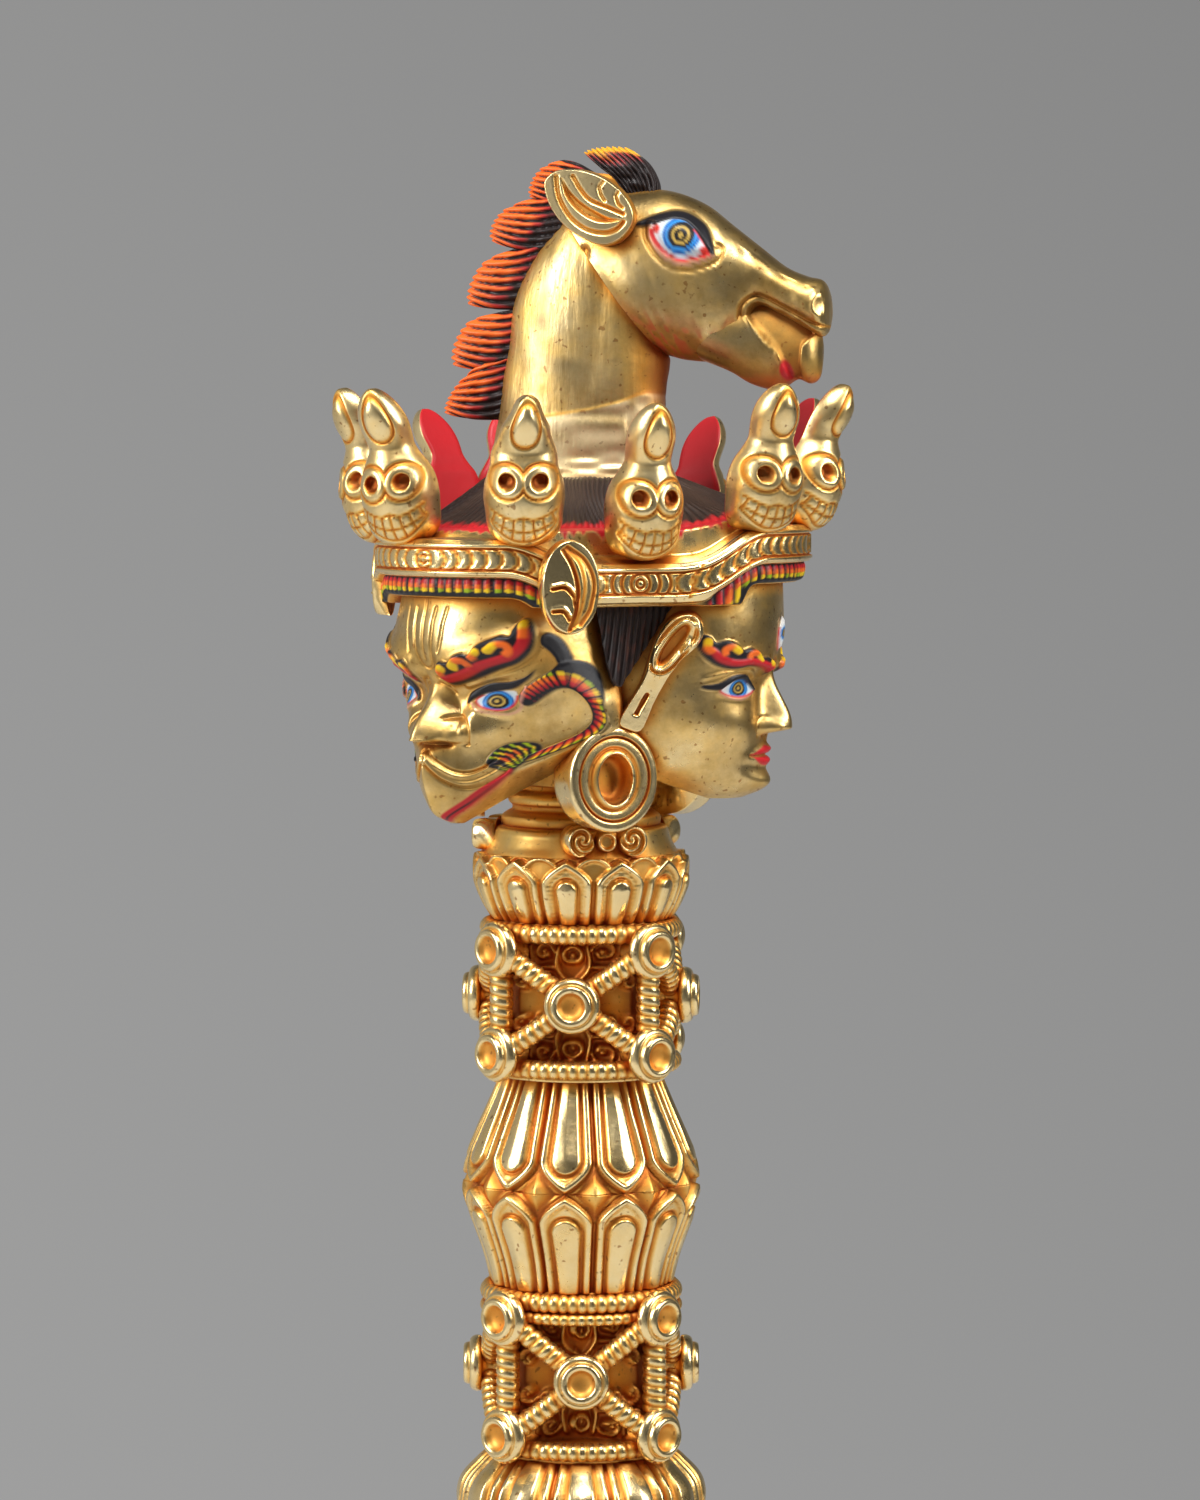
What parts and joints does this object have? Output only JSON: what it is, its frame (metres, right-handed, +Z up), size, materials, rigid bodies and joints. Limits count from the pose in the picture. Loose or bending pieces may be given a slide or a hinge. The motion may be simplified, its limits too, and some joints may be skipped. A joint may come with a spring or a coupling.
{
  "type": "phurba",
  "caption": "Gilt cast-metal phurba: three-edged blade in a makara's jaws, lattice and lotus grip, three faces under a skull crown, and a painted horse's head on top.",
  "frame": {"origin": "the blade's point, on the shaft's axis", "axes": "+Z runs up the shaft from the blade's point to the horse; the windows of the grip's lattices face -Y, +X, +Y and -X"},
  "size_m": [0.0493, 0.0491, 0.2906],
  "materials": {
    "gilt": "polished gilding on the high spots, matte orange gilding in the recesses, painted details",
    "hair": "satin black-brown paint on combed hair",
    "mane": "satin paint, orange tips running to black-brown roots",
    "rod": "plain bar"
  },
  "bodies": {
    "root": {"blade": "gilt", "serpents": "gilt", "makara_head": "gilt", "core_rod": "rod", "base_lotus": "gilt", "lower_lattice_core": "gilt", "lower_lattice_wires": "gilt", "lower_lattice_bosses": "gilt", "lower_lattice_rings": "gilt", "rising_lotus": "gilt", "falling_lotus": "gilt", "upper_lattice_core": "gilt", "upper_lattice_wires": "gilt", "upper_lattice_bosses": "gilt", "upper_lattice_rings": "gilt", "top_lotus": "gilt", "neck": "gilt", "neck_collar": "gilt", "scroll_jewels": "gilt", "head_block": "gilt", "garuda_face": "gilt", "front_face": "gilt", "rear_face": "gilt", "garuda_ear_left": "gilt", "garuda_ear_right": "gilt", "front_ear_left": "gilt", "front_ear_right": "gilt", "rear_ear_left": "gilt", "rear_ear_right": "gilt", "ear_plug_1": "gilt", "ear_plug_2": "gilt", "ear_plug_3": "gilt", "hair_panel_1": "hair", "hair_panel_2": "hair", "hair_panel_3": "hair", "crown": "gilt", "hair_dome": "hair", "skull_1": "gilt", "skull_2": "gilt", "skull_3": "gilt", "skull_4": "gilt", "skull_5": "gilt", "skull_6": "gilt", "skull_7": "gilt", "skull_8": "gilt", "skull_9": "gilt", "skull_10": "gilt", "skull_11": "gilt", "skull_12": "gilt", "horse_neck": "gilt", "horse_head": "gilt", "horse_ear_left": "gilt", "horse_ear_right": "gilt", "forelock": "hair", "mane_tuft_1": "mane", "mane_tuft_2": "mane", "mane_tuft_3": "mane", "mane_tuft_4": "mane", "mane_tuft_5": "mane"}
  },
  "joints": []
}
